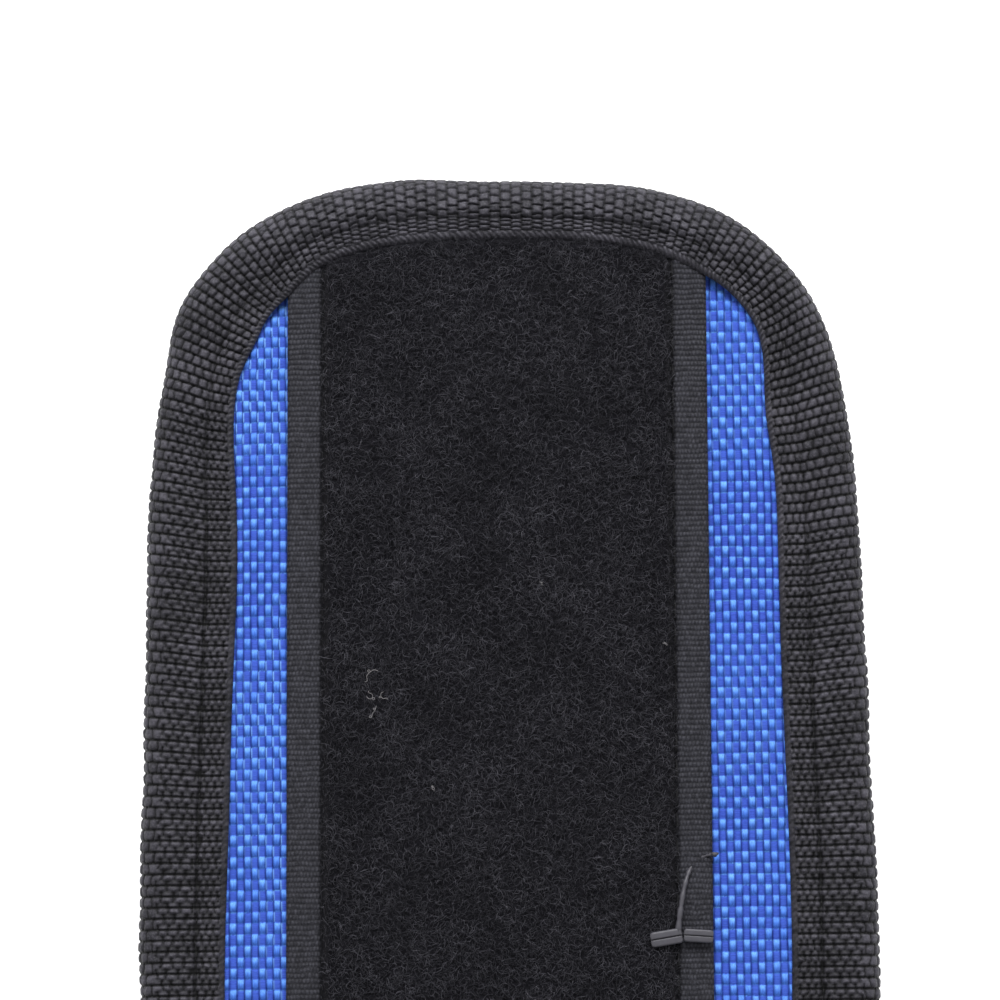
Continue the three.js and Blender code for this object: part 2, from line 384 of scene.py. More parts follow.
def cloth_material():
    """Blue polyester: lengthwise yarns over darker, more purple crosswise ones, with a painted highlight toward the
    upper end of each float, painted glints beside some floats and painted shade in the gaps.
    """
    shader = new_shader("blue_cloth")
    warp, tone, pit, sliver = map(shader.attribute, ("warp", "tone", "pit", "sliver"))
    filaments = shader.noise(9000.0, stretch=(1, 0.06, 1))
    crossing = shader.noise(9000.0, stretch=(0.06, 1, 1))
    streaks = shader.mix(warp, crossing, filaments)
    colour = shader.mix(warp, (0.060, 0.118, 0.60), (0.060, 0.175, 0.76))
    # Light blue on the lengthwise yarns by their tone, which carries a painted highlight toward each float's upper
    # end
    colour = shader.mix(shader.maths("MULTIPLY", tone, warp), colour, (0.19, 0.46, 1.0))
    colour = shader.tint(colour, (0.014, 0.026, 0.22), streaks, (0.35, 0.65), (0.4, 0))
    colour = shader.tint(colour, (0.10, 0.26, 0.85), shader.noise(60.0), (0.3, 0.7), (0, 0.15))
    # Painted shade in the gaps and hollows of the weave
    colour = shader.mix(pit, colour, (0.008, 0.013, 0.14))
    # Painted glints: thin light lines beside some lengthwise yarns
    colour = shader.tint(colour, (0.27, 0.55, 1.0), sliver, (0, 1), (0, 0.8))
    shader.bump(streaks, 0.35, 0.00004)
    return shader.finish(colour, 0.6, Specular_IOR_Level=0.1, Specular_Tint=(0.45, 0.66, 1.0),
                         Sheen_Weight=0.04, Sheen_Roughness=0.4, Sheen_Tint=(0.35, 0.55, 1.0))


def webbing_material(name, dark, light, pit_colour, roughness):
    """Black woven tape, with painted shade that leaves the crowns of its yarns lighter and makes it nearly black in
    between.
    """
    shader = new_shader(name)
    fine = shader.noise(3600.0, 4.0, 0.7)
    colour = shader.mix(shader.attribute("tone"), dark, light)
    # Fine mottling of the yarn: darker flecks of its own tone, and lighter flecks above its light colour that are
    # painted glints on the filaments
    colour = shader.tint(colour, scaled(dark, 0.35), fine, (0.32, 0.5), (0.55, 0))
    colour = shader.tint(colour, scaled(light, 1.3), fine, (0.5, 0.68), (0, 0.6))
    colour = shader.tint(colour, dark, shader.noise(90.0), (0.3, 0.7), (0, 0.25))
    # Painted shade in the gaps and valleys between the yarns
    colour = shader.mix(shader.attribute("pit"), colour, pit_colour)
    shader.bump(fine, 0.9, 0.00009)
    return shader.finish(colour, roughness, Specular_IOR_Level=0.16, Sheen_Weight=0.03, Sheen_Roughness=0.5)


def pile_material(name, dark, light):
    """Brushed loop pile and its fibres, in two tones of near black."""
    shader = new_shader(name)
    fine = shader.noise(2600.0, 4.0, 0.7)
    colour = shader.tint(dark, light, fine, (0.38, 0.7), (0, 0.35))
    # Lighter by the tone, which on the fibres carries a painted shadow near the binding's lip
    colour = shader.tint(colour, light, shader.attribute("tone"), (0, 1), (0, 0.95))
    colour = shader.tint(colour, dark, shader.noise(140.0, 3.0), (0.35, 0.65), (0, 0.35))
    shader.bump(fine, 0.7, 0.00015)
    return shader.finish(colour, 0.9, Specular_IOR_Level=0.05, Sheen_Weight=0.03, Sheen_Roughness=0.6)


def plastic_material(name, colour, roughness, grain):
    """Moulded plastic with a fine uneven skin."""
    shader = new_shader(name)
    fine = shader.noise(1500.0, 3.0)
    shader.bump(fine, grain, 0.00005)
    tinted = shader.tint(colour, scaled(colour, 0.55), fine, (0.3, 0.7), (0, 0.5))
    return shader.finish(tinted, roughness, Specular_IOR_Level=0.5)


def plating_material():
    """Nickel plating of the magnets, with faint scuffs."""
    shader = new_shader("magnet_plating")
    coordinate = shader.node("TexCoord").outputs["Object"]
    scuffs = shader.node("TexNoise", Vector=coordinate, Scale=700.0, Detail=4.0).outputs[0]
    colour = shader.tint((0.62, 0.63, 0.65), (0.74, 0.75, 0.77), scuffs, (0.3, 0.7), (0, 1))
    return shader.finish(colour, shader.ranged(scuffs, 0.3, 0.7, 0.22, 0.42), Metallic=1.0)


# Edge of the strap


def edge_path():
    """Places, inward normals and lip width along the right-hand edge from the loop tip to the hook tip."""
    angle = np.linspace(np.pi / 2, 0, 6000)
    across = np.cos(angle) ** (2 / END_WIDTH_POWER)
    along = np.sin(angle) ** (2 / END_LENGTH_POWER)
    across[0] = 0
    x, y = HALF_WIDTH * across, TIP - END_REACH + END_REACH * along
    nx = -END_WIDTH_POWER / HALF_WIDTH * across ** (END_WIDTH_POWER - 1)
    ny = -END_LENGTH_POWER / END_REACH * along ** (END_LENGTH_POWER - 1)
    size = np.hypot(nx, ny)
    quarter = ((x, 1), (y, -1), (nx / size, 1), (ny / size, -1))
    x, y, nx, ny = (np.concatenate([part, sign * part[::-1]]) for part, sign in quarter)
    distance = np.concatenate([[0], np.cumsum(np.hypot(np.diff(x), np.diff(y)))])
    low, high = np.zeros(len(x)), np.full(len(x), 30.0)
    for _ in range(40):
        middle = (low + high) / 2
        outside = lip_share(x + nx * middle, y + ny * middle) > 1
        low, high = np.where(outside, middle, low), np.where(outside, high, middle)
    return distance, x, y, nx, ny, low


EDGE = edge_path()


def inset_half_width(y, inset):
    """Half width of the outline drawn in by a distance, at places along the strap."""
    _, x, along, nx, ny, _ = EDGE
    return np.interp(-y, -(along + ny * inset), x + nx * inset)


# Outer cloth


CLOTH_SINK = 0.12
CLOTH_CROWN = 0.22
POCKET_PUFF = 0.75
POCKET_SQUARENESS = 0.45


def cell_puff(x, y):
    """Rise of the quilted pockets over the magnets, 0 on their seams."""
    rise = np.zeros(np.broadcast(x, y).shape)
    across = arch(np.abs(x) / LIP_INNER)
    for index in MAGNET_SECTIONS:
        top, bottom = EDGES[index - 1], EDGES[index]
        rise += (arch((top - y) / (top - bottom)) * across) ** POCKET_SQUARENESS
    return rise


def cloth_base(x, y):
    """The cloth's middle surface: level beside the tape, puffed over the magnets, low under the binding."""
    crown = CLOTH_CROWN * arch((LIP_INNER - np.abs(x)) / (LIP_INNER - TAPE_HALF))
    free = smooth((1 - lip_share(x, y)) / 0.06)
    loose = 0.12 * ripple(x, y, 26, 3) * free
    return PANEL_TOP - CLOTH_SINK + free * (POCKET_PUFF * cell_puff(x, y) + crown) + loose


WAVE_SQUARENESS = 0.85


def plain_weave(x, y):
    """Height, share of lengthwise yarn, tone with a painted highlight toward each float's upper end, painted shade
    share and painted glints of a plain weave.
    """
    x = x + 0.05 * ripple(x, y, 9, 11)
    y = y + 0.07 * ripple(x, y, 12, 12)
    column, row = np.floor(x / YARN), np.floor(y / PICK)
    across, along = x / YARN - column, y / PICK - row
    tilt = 0.5 + 0.5 * ripple(x, y, 22, 13)
    wave_long = signed_power(np.cos(np.pi * (y / PICK - 0.5) + np.pi * column), WAVE_SQUARENESS)
    wave_cross = signed_power(-np.cos(np.pi * (x / YARN - 0.5) + np.pi * row), WAVE_SQUARENESS)
    long_yarn = 0.27 * wave_long + 0.13 * dome(across, 6) + 0.05 * tilt
    cross_yarn = 0.13 * wave_cross + 0.11 * dome(along, 5) - 0.04 * tilt
    warp = long_yarn > cross_yarn
    height = np.maximum(long_yarn, cross_yarn)
    tone = np.where(warp, hashed(column, 0, 1), hashed(row, 5, 2)) * 0.35 + 0.65 * hashed(column, row, 3)
    # Lengthwise floats get lighter toward their upper end, nearest the key light: a painted highlight over their
    # random tone
    tone = np.where(warp, (0.25 + 0.75 * smooth((along - 0.38) / 0.42)) * (0.3 + 0.7 * tone), tone)
    # Painted glints: thin light lines beside some lengthwise yarns, mostly toward the left
    shown = smooth(0.6 + 1.2 * ripple(x, y, 34, 14)) * smooth(-wave_long * 2) * (1 - 0.7 * smooth(x / 10))
    sliver = bulge(across, 0.05, 0.1) * shown
    # Painted shade in the narrow gaps between yarns and in the low places of the weave
    gap = bulge(np.minimum(across, 1 - across), 0, 0.12) * (0.7 + 0.3 * hashed(column, row, 7))
    gap = gap * (1 - np.clip(sliver, 0, 1))
    return height, warp.astype(float), tone, np.maximum(smooth((0.12 - height) / 0.18), gap), sliver


def cloth_piece(number, material):
    """One stretch of the outer cloth, from the middle of one section to the middle of the next."""
    first, last = (crest_near(place, PICK) for place in span(number, 10, 4.6))
    rows = samples(first, last, PICK, by_detail(number, CREST_SHARES))
    yarns = round((LIP_INNER + 1.2) / YARN) * YARN
    inner = round((TAPE_HALF - 1.8) / YARN) * YARN
    strip = samples(inner, yarns, YARN, by_detail(number, YARN_SHARES))
    if number < FINE_PIECES:
        half = np.concatenate([[5.0, 14.0], strip])
    else:
        half = samples(0, yarns, YARN, by_detail(number, YARN_SHARES))[1:]
    half = np.concatenate([half, yarns + np.array([0.4, 1]) * 3])
    x, y = np.meshgrid(np.concatenate([-half[::-1], [0.0], half]), rows)
    beyond = np.abs(x) > yarns
    reach = np.minimum(inset_half_width(y, 3.4), yarns + 3)
    past = np.maximum(np.abs(x) - reach + 1, 0)
    x = np.sign(x) * (np.minimum(np.abs(x), reach - 1) + past / (yarns + 4 - reach))
    height, warp, tone, pit, sliver = plain_weave(x, y)
    covered = (np.abs(x) < inner + 0.01) & (y > LOOP_TAPE_END + 2) & (number < FINE_PIECES)
    z = cloth_base(x, y) + np.where(covered | beyond, 0, height)
    piece = band(f"outer_cloth_{number:02d}", x, y, z, PANEL_BOTTOM, warp=warp, tone=tone, pit=pit, sliver=sliver)
    finish_piece(piece, number, "outer_panel", material, *stands_for("outer_panel", number))


# Edge binding

FOLD = (LIP_TOP - LIP_BOTTOM) / 2
BINDING = 0.9
EDGE_LENGTH = EDGE[0][-1]
EDGE_RIB = EDGE_LENGTH / round(EDGE_LENGTH / RIB)


# Bulges of the hand-sewn outline and of the binding's inner edge near the loop end, on the left and
# on the right: height, distance from the tip, width
OUTLINE_BULGES = ((0.58, 15, 6), (-0.2, 60, 11)), ((0.15, 13, 8),)
LIP_BULGES = (((0.85, 44, 16), (-0.75, 96, 18), (0.8, 15, 5), (1.0, 7, 4)),
              ((0.9, 27, 7), (-0.7, 88, 24), (-0.6, 14, 6), (0.4, 4, 3)))


def bulges(place, rows):
    return sum(height * bulge(place, middle, width) for height, middle, width in rows)


def edge_wander(side, distance, from_tip):
    """How far the sewn edge stands outside its drawn line, near the loop end."""
    left, right = (bulges(from_tip, rows) for rows in OUTLINE_BULGES)
    left = left + 0.68 * window(distance, 0, 12, 60, 26)
    right = right + 0.2 * window(from_tip, 72, 12, 125, 25)
    waist = -0.45 * bulge(from_tip, 42, 17)
    return np.where(side < 0, left, right) + waist + 0.3 * window(from_tip, 66, 18, 125, 25)


def lip_wander(side, from_tip):
    """How much wider than drawn the hand-sewn binding laps over, near the loop end."""
    left, right = (bulges(from_tip, rows) for rows in LIP_BULGES)
    return np.where(side < 0, left, right) + 0.65 * bulge(from_tip, 0, 2.2)


def from_loop_tip(distance):
    """Distance along the edge from the loop tip, the same on the left as on the right."""
    folded = np.abs(distance)
    return np.minimum(folded, 2 * EDGE_LENGTH - folded)


def edge_at(distance):
    """Place, inward normal and lip width at a distance round the edge from the loop tip, right side positive."""
    folded = from_loop_tip(distance)
    side = np.where((distance < 0) ^ (np.abs(distance) > EDGE_LENGTH), -1.0, 1.0)
    x, y, nx, ny, lip = (np.interp(folded, EDGE[0], values) for values in EDGE[1:])
    wider = edge_wander(side, folded, TIP - y)
    lip = lip + wider + lip_wander(side, TIP - y)
    return side * (x - nx * wider), y - ny * wider, side * nx, ny, lip


def edge_cut(number):
    """Distance from the loop tip to the cut at the middle of a section, on the crest of a rib."""
    distance = np.interp(-MIDDLES[number], -EDGE[2], EDGE[0])
    return (round(distance / EDGE_RIB - RIB_CREST) + RIB_CREST) * EDGE_RIB


# Place of a rib's crest and of the thin line that splits it in two
RIB_CREST = 0.3
RIB_SPLIT = 0.56


def stitch_line(lip):
    """Distance of the seam from the binding's inner edge."""
    return 2.25 + 1.35 * (lip - LIP_TIP) / (HALF_WIDTH - LIP_INNER - LIP_TIP)


def lip_lift(x, y, inward):
    """Rise of the binding's upper lip where it crosses the loop tape at the tip."""
    over_tape = smooth((TAPE_HALF + 4.5 - np.abs(x)) / 4) * smooth((y - TIP + 32) / 6)
    return 0.6 * over_tape * smooth((inward - 2.2) / 2.4)


def lip_sink(inward):
    """How far the upper lip is drawn down towards the cloth."""
    return 0.30 * smooth((inward - FOLD) / 4)


def fold_table():
    """Distance round the fold from top to bottom, with the outward and upward share at each place."""
    angle = np.linspace(np.pi / 2, -np.pi / 2, 801)
    out = np.cos(angle).clip(0) ** FOLD_SQUARENESS
    up = signed_power(np.sin(angle), FOLD_SQUARENESS)
    distance = np.concatenate([[0], np.cumsum(np.hypot(np.diff(out), np.diff(up)))]) * FOLD
    return distance, out, up


FOLD_SQUARENESS = 0.74
FOLD_TABLE = fold_table()
FOLD_LENGTH = FOLD_TABLE[0][-1]


def binding_profile(lip, across):
    """Tape distance, inward distance, height and outward direction over a binding's outer face.
    across runs 0 to 1 over the upper lip, 1 to 2 round the fold and 2 to 3 over the lower lip."""
    flat = lip - FOLD
    round_fold = np.clip(across - 1, 0, 1) * FOLD_LENGTH
    reach, rise = (np.interp(round_fold, FOLD_TABLE[0], values) for values in FOLD_TABLE[1:])
    step = 0.02
    ahead = [np.interp(round_fold + step, FOLD_TABLE[0], values) for values in FOLD_TABLE[1:]]
    behind = [np.interp(round_fold - step, FOLD_TABLE[0], values) for values in FOLD_TABLE[1:]]
    turn_out, turn_up = behind[1] - ahead[1], ahead[0] - behind[0]
    size = np.hypot(turn_out, turn_up) + 1e-12
    upper, lower = across < 1, across > 2
    inward = np.where(upper, lip - across * flat, np.where(lower, FOLD + (across - 2) * flat, FOLD - FOLD * reach))
    height = np.where(upper, LIP_TOP, np.where(lower, LIP_BOTTOM, HINGE_HEIGHT + FOLD * rise))
    tape = np.where(upper, across * flat, flat + np.where(lower, FOLD_LENGTH + (across - 2) * flat, round_fold))
    out = np.where(upper | lower, 0, -turn_out / size)
    up = np.where(upper, 1.0, np.where(lower, -1.0, turn_up / size))
    return tape, inward, height, out, up


def straightness(distance):
    """0 round the two tips and 1 along the strap's sides, where the left-hand ribs flatten out sooner."""
    start = np.where(distance < 0, 42.0, 58.0)
    return window(from_loop_tip(distance), start, 38, EDGE_LENGTH - 50, 38)


def rib_position(distance):
    """Number of the rib at a distance round the edge, and the share of it that is passed."""
    turned = from_loop_tip(distance) / EDGE_RIB
    rib = np.floor(turned)
    mirrored = 2 * round(EDGE_LENGTH / EDGE_RIB) - 1 - rib
    return np.where(distance < 0, -1 - rib, np.where(distance > EDGE_LENGTH, mirrored, rib)), turned - rib


def rib_crown(along, split_share, at_tip):
    """Rise over a rib from valley to valley; along the strap's sides a thin line splits it in two."""
    whole = dome(along, 2.6 + 0.8 * at_tip, 0.8 - 0.15 * at_tip)
    upper = dome(along / RIB_SPLIT, 2.4, 0.75)
    lower = dome((along - RIB_SPLIT) / (1 - RIB_SPLIT), 2, 0.8)
    pair = np.where(along > RIB_SPLIT, 0.82 * lower, upper)
    return whole + split_share * (np.maximum(pair, 0.5 * whole) - whole)


CELL_RELIEF = 0.32
VALLEY_DEPTH = 0.24
SEAM_DEPTH = 0.26
CORD_WIDTH = 0.7


def binding_relief(distance, tape, lip, from_edge):
    """Height, tone and painted shade share of the ribbed webbing: staggered cells, a sunk seam and a corded edge."""
    turned = from_loop_tip(distance)
    straight = straightness(distance)
    at_tip = 1 - smooth((turned - 18) / 22)
    rib, along = rib_position(distance)
    seam = stitch_line(lip)
    inner = from_edge < seam

    # Cells between the yarns, staggered from rib to rib
    cell = np.where(inner, 0.54 + 0.36 * smooth((turned - 16) / 14), 1.08 + 0.2 * straight)
    split_share = straight * smooth((5.4 - from_edge + seam) / 1.6)
    second = (along > RIB_SPLIT) & (split_share > 0.3)
    sway = 0.16 * ripple(distance, tape, 6, 22) + 0.10 * ripple(distance, tape, 2.4, 24)
    count = np.where(inner, from_edge, from_edge - seam) / cell + 0.5 * np.mod(rib, 2) + 0.5 * second + sway
    number = np.floor(count)
    across = count - number
    crown = rib_crown(along, split_share, at_tip)
    cells = dome(across, 2.8 + at_tip, 0.9)
    uneven = 0.8 + 0.4 * hashed(rib, number + 0.5 * second, 9)
    valley = np.minimum(along, 1 - along) * EDGE_RIB
    relief = CELL_RELIEF * uneven * crown * (0.10 + 0.90 * cells)
    relief = relief - (VALLEY_DEPTH - 0.08 * at_tip) * bulge(valley, 0, 0.09)
    relief = relief - 0.06 * split_share * bulge((along - RIB_SPLIT) * EDGE_RIB, 0, 0.06)
    relief = relief - 0.12 * bulge(np.minimum(across, 1 - across) * cell, 0, 0.10)
    relief = relief + 0.035 * ripple(distance, tape, 0.8, 25) + 0.03 * ripple(distance, tape, 0.45, 26)

    # Corded edge and sunk seam
    cord_width = CORD_WIDTH + 0.35 * at_tip
    cord = from_edge < cord_width
    twist = 0.5 + 0.5 * np.sin(2 * np.pi * (1.6 * distance / EDGE_RIB + from_edge / 1.1))
    twist = twist * (1 - 0.6 * straight)
    relief = np.where(cord, 0.04 + 0.2 * twist * arch(from_edge / cord_width), relief)
    pulled = 0.5 + 0.5 * np.cos(np.pi * distance / EDGE_RIB)
    groove = bulge(from_edge, seam, 0.14 + 0.16 * pulled) * (0.45 + 0.55 * straight)
    relief = relief * (1 - 0.6 * groove) - SEAM_DEPTH * groove

    tone = 0.05 + 0.8 * hashed(rib, number + 0.5 * second, 4) + 0.25 * ripple(distance, tape, 10, 23)
    # Painted shade: darker in the valleys between cells and ribs, between the cord's twists and in the sunk seam,
    # most where the stitches pull it down
    depth = 1 - crown * (0.12 + 0.88 * cells)
    between = np.clip(depth * 1.25 - 0.1, 0, 1) + (0.5 - 0.3 * at_tip) * bulge(valley, 0, 0.1)
    pit = np.where(cord, (0.6 - 0.25 * at_tip) - 0.5 * twist, between) + (0.35 + 0.35 * pulled) * groove
    # Painted shade on the lower, half-hidden cells of each split rib along the sides
    pit = pit + 0.3 * second * split_share * hashed(rib, number, 15)
    return relief, np.clip(tone - 0.2 * at_tip, 0, 1), np.clip(pit, 0, 1)


def rib_samples(first, last, shares):
    """Places round the edge between two crests; towards the tip and away from it they mirror each other."""
    if first < 0 < last:
        half = rib_samples(RIB_CREST * EDGE_RIB, last, shares)
        return np.concatenate([-half[::-1], [-0.15 * EDGE_RIB, 0, 0.15 * EDGE_RIB], half])
    if first < EDGE_LENGTH < last:
        half = rib_samples(first, EDGE_LENGTH - (1 - RIB_CREST) * EDGE_RIB, shares)
        gap = EDGE_LENGTH - half[-1]
        middle = EDGE_LENGTH + gap * np.linspace(-1, 1, 12)[1:-1]
        return np.concatenate([half, middle, 2 * EDGE_LENGTH - half[::-1]])
    if first < 0:
        return -rib_samples(-last, -first, shares)[::-1]
    return samples(first, last, EDGE_RIB, shares)


# Stretches of the binding's outer face: where each ends, and its number of samples, fine and coarse
BINDING_STRETCHES = ((1, (60, 48)), (1.55, (48, 24)), (2, (20, 12)), (3, (26, 20)))


def binding_samples(number):
    """Places across the binding's outer face, as binding_profile takes them."""
    parts, start = [], 0
    for end, counts in BINDING_STRETCHES:
        parts.append(np.linspace(start, end, by_detail(number, counts))[:-1])
        start = end
    return np.concatenate(parts + [[start]])[None, :]


def binding_outside(distance, across):
    """Points, tone and painted shade share of the binding's ribbed outer face."""
    lip = edge_at(distance)[4]
    folded = from_loop_tip(distance)
    tape, inward, height, out, up = binding_profile(lip, across)
    upper = across < 1.5
    from_edge = np.where(upper, tape, 2 * (lip - FOLD) + FOLD_LENGTH - tape)
    seam = stitch_line(lip)
    ahead = 0.85 * window(folded, 0, 70, 118, 34) * np.clip((from_edge - seam) / 6.5, 0, 1.15)
    turning = np.where((distance < 0) | (distance > EDGE_LENGTH), -1.0, 1.0)
    x, y, nx, ny, _ = edge_at(distance - turning * ahead)
    relief, tone, pit = binding_relief(distance, tape, lip, from_edge)
    pillow = 0.22 * arch((from_edge - seam) / (lip - FOLD - seam + 1.5))
    pillow = pillow + 0.12 * arch(from_edge / seam) - 0.35 * np.exp(-from_edge / 0.35)
    flatter = 0.72 - 0.34 * smooth((folded - 45) / 30)
    rise = relief * (1 - flatter * np.abs(out)) - 0.14 + pillow + 0.10 * ripple(distance, tape, 15, 21)
    rise = np.where(across > 2, 0.6 * rise - 0.12, rise)
    x, y = x + nx * (inward + out * rise), y + ny * (inward + out * rise)
    shift = np.where(upper, lip_lift(x, y, inward) - lip_sink(inward), 0)
    return np.stack([x, y, height + up * rise + shift], axis=-1), tone, pit


def binding_inside(distance):
    """Points of the fold's plain inner face, from the lower edge round to the upper one."""
    x, y, nx, ny, lip = edge_at(distance)
    core = FOLD - BINDING
    turns = np.radians([-70, -35, 0, 35, 70])
    reaches = [lip - 0.1, FOLD] + [FOLD - core * math.cos(turn) for turn in turns] + [FOLD, lip - 0.1]
    levels = [LIP_BOTTOM + BINDING] * 2 + [HINGE_HEIGHT + core * math.sin(turn) for turn in turns]
    levels += [LIP_TOP - BINDING, PANEL_TOP + 0.1]
    points = [np.stack([x + nx * reach, y + ny * reach, np.full(len(x), level)], axis=-1)
              for reach, level in zip(reaches, levels)]
    points[-1][:, 2] += lip_lift(points[-1][:, 0], points[-1][:, 1], lip)
    return np.stack(points, axis=1)


def binding_run(first, last, number):
    """Rings of the binding from one distance round the edge to another, with tone and painted shade share; the
    hidden inner face is painted fully shaded.
    """
    distance = rib_samples(first, last, by_detail(number, RIB_SHARES))[:, None]
    outer, tone, pit = binding_outside(distance, binding_samples(number))
    inner = binding_inside(distance[:, 0])
    bare = np.zeros(inner.shape[:2])
    rings = np.concatenate([outer, inner], axis=1)
    # The fold's inner face, which only shade reaches, is painted fully shaded
    return rings, np.concatenate([tone, bare], axis=1), np.concatenate([pit, bare + 1], axis=1)


def edge_runs(number):
    """Stretches round the edge that a piece covers: one round each tip, two elsewhere."""
    if number == 1:
        return [(-edge_cut(2), edge_cut(2))]
    if number == LAST:
        return [(edge_cut(number), 2 * EDGE_LENGTH - edge_cut(number))]
    first, last = edge_cut(number), edge_cut(number + 1)
    return [(first, last), (-last, -first)]


def binding_piece(number, material):
    """One stretch of the binding, on both sides or round a tip."""
    made = [binding_run(first, last, number) for first, last in edge_runs(number)]
    rings, tones, pits = zip(*made)
    piece = skin(f"edge_binding_{number:02d}", rings, tone=tones, pit=pits)
    nodes = [f"binding_left_{number:02d}", f"binding_right_{number:02d}"] if number > 1 else ["binding_tip_01"]
    if number == LAST:
        nodes.append(f"binding_tip_{SECTIONS:02d}")
    finish_piece(piece, number, "binding", material, *nodes)


# Loop tape

SELVAGE_TOP = PANEL_TOP + 0.9
TAPE_FLOOR = PANEL_TOP + 0.26
GROOVE = TAPE_HALF - SELVAGE
SELVAGE_CELL = 0.42
PILE_STEP = 0.45


def tape_drift(y):
    """Sideways wander of the sewn tape."""
    return -0.74 - 0.0066 * (TIP - y - 50)


def tape_top(x, y):
    """Height, tone and painted shade share of the loop tape."""
    side = np.abs(x)
    woven = side > GROOVE
    swayed = (y + 0.05 * ripple(x, y, 3.5, 35) * smooth((side - GROOVE) / 0.5)) / SELVAGE_RIB
    rib = np.floor(swayed)
    count = side / SELVAGE_CELL + 0.5 * np.mod(rib, 2) + 0.3 * ripple(x, y, 2.6, 36)
    bars, cells = (arch(part - np.floor(part)) ** 0.8 for part in (swayed, count))
    selvage = SELVAGE_TOP + 0.14 * bars * (0.3 + 0.7 * cells) - 0.25 * smooth((side - TAPE_HALF + 0.35) / 0.35)
    tufts = 0.05 * ripple(x, y, 2.1, 31) + 0.05 * ripple(x, y, 0.9, 32) + 0.06 * ripple(x, y, 14, 33)
    pressed = smooth((TIP - y - lip_depth(x)) / 1.6)
    pile = SELVAGE_TOP - 0.02 + pressed * (PILE_TOP - 0.42 - SELVAGE_TOP + tufts)
    inside = smooth((GROOVE - 0.1 - side) / 0.9)
    height = np.where(woven, selvage, SELVAGE_TOP - 0.3 + inside * (pile - SELVAGE_TOP + 0.3))
    height = height - 0.14 * bulge(side, GROOVE, 0.22)
    height = height - 0.3 * smooth((lip_depth(x) - TIP + y + 0.2) / 0.9) * smooth((y - TIP + 32) / 6)
    tone = np.where(woven, 0.2 + 0.7 * hashed(rib, np.floor(count), 8), 0.12 + 0.08 * ripple(x, y, 1.3, 34))
    # Painted shade between the selvage's ribs and cells, and in the groove between pile and selvage
    woven_pit = np.clip(1.08 - (0.25 + 0.75 * bars) * (0.2 + 0.9 * cells), 0, 1)
    pit = np.where(woven, woven_pit, 0.97 - 0.1 * pressed) + 0.55 * bulge(side, GROOVE, 0.3)
    return height, np.clip(tone, 0, 1), np.clip(pit, 0, 1)


def mark_faces(piece, key):
    """Gives the second material to the faces whose first point carries the attribute."""
    mesh = piece.data
    marked = np.empty(len(mesh.vertices), np.float32)
    mesh.attributes[key].data.foreach_get("value", marked)
    first_corner = np.empty(len(mesh.polygons), np.int32)
    mesh.polygons.foreach_get("loop_start", first_corner)
    corner_point = np.empty(len(mesh.loops), np.int32)
    mesh.loops.foreach_get("vertex_index", corner_point)
    index = (marked[corner_point[first_corner]] > 0.5).astype(np.int32)
    mesh.polygons.foreach_set("material_index", index)


def loop_tape_piece(number, webbing, felt, pile):
    """One stretch of the loop tape; the first runs under the binding at the tip."""
    last = LOOP_TAPE_END if number == FINE_PIECES else crest_near(MIDDLES[number + 1], SELVAGE_RIB)
    level = crest_near(TIP - 24 if number == 1 else MIDDLES[number], SELVAGE_RIB)
    half = np.concatenate([np.arange(PILE_STEP, GROOVE - 1.1, PILE_STEP),
                           np.linspace(GROOVE - 1.1, GROOVE - 0.08, 9), GROOVE + np.linspace(0, SELVAGE, 40)])
    across = np.concatenate([-half[::-1], [0.0], half])
    straight = samples(level, last, SELVAGE_RIB, CREST_SHARES[1])
    straight[-1] = last
    y = np.repeat(straight[:, None], len(across), 1)
    if number == 1:
        start = TIP - lip_depth(across) + 1.3
        y = np.concatenate([start + (level - start) * np.linspace(0, 1, 150)[:-1, None], y])
    x = np.broadcast_to(across, y.shape)
    height, tone, pit = tape_top(x, y)
    piece = band(f"loop_tape_band_{number:02d}", x + tape_drift(y), y, height, TAPE_FLOOR, tone=tone, pit=pit,
                 fuzzy=(np.abs(x) < GROOVE).astype(float))
    finish_piece(piece, number, "loop_tape", webbing, f"loop_tape_{number:02d}")
    piece.data.materials.append(felt)
    mark_faces(piece, "fuzzy")
    loop_fibres(number, y[0].max(), last, pile)


FIBRES_PER_SQUARE = 13


def loop_fibres(number, first, last, material):
    """Short curled fibres standing out of the pile."""
    count = round(FIBRES_PER_SQUARE * 2 * GROOVE * (first - last))
    x = random.uniform(-GROOVE + 0.1, GROOVE - 0.1, count)
    y = random.uniform(last, first, count)
    free = TIP - y - lip_depth(x) > 0.8
    x, y = x[free], y[free]
    count = len(x)
    combed = random.random(count) < 0.5
    heading = np.where(combed, random.normal(0.7, 0.6, count), random.uniform(0, 2 * np.pi, count))
    length = random.uniform(0.5, 1.8, count)
    bend = random.normal(0, 0.9, count)
    share = np.linspace(0, 1, 4)
    angle = heading[:, None] + bend[:, None] * share
    reach = length[:, None] * share * 0.8
    base = tape_top(x, y)[0]
    rise = random.uniform(0.22, 0.5, count)[:, None] * np.sin(np.pi * np.minimum(share * 0.75, 1))
    px = x[:, None] + np.cos(angle) * reach
    py = y[:, None] + np.sin(angle) * reach
    px = np.clip(px, -GROOVE - 0.25, GROOVE + 0.25) + tape_drift(py)
    py = np.minimum(py, TIP - lip_depth(px) + 0.1)
    pz = base[:, None] - 0.04 + rise
    paths = np.stack([px, py, np.minimum(pz, PILE_TOP + 0.05)], axis=-1)
    # Random tone per fibre, with a painted shadow of the binding's lip darkening the fibres within a few millimetres
    # of it
    tone = (0.08 + 0.92 * random.random(count) ** 4) * smooth((TIP - y - lip_depth(x)) / 2.5)
    piece = strands(f"loop_pile_{number:02d}", paths, [0.024, 0.023, 0.02, 0.012], 3, tone)
    finish_piece(piece, number, "loop_tape", material)


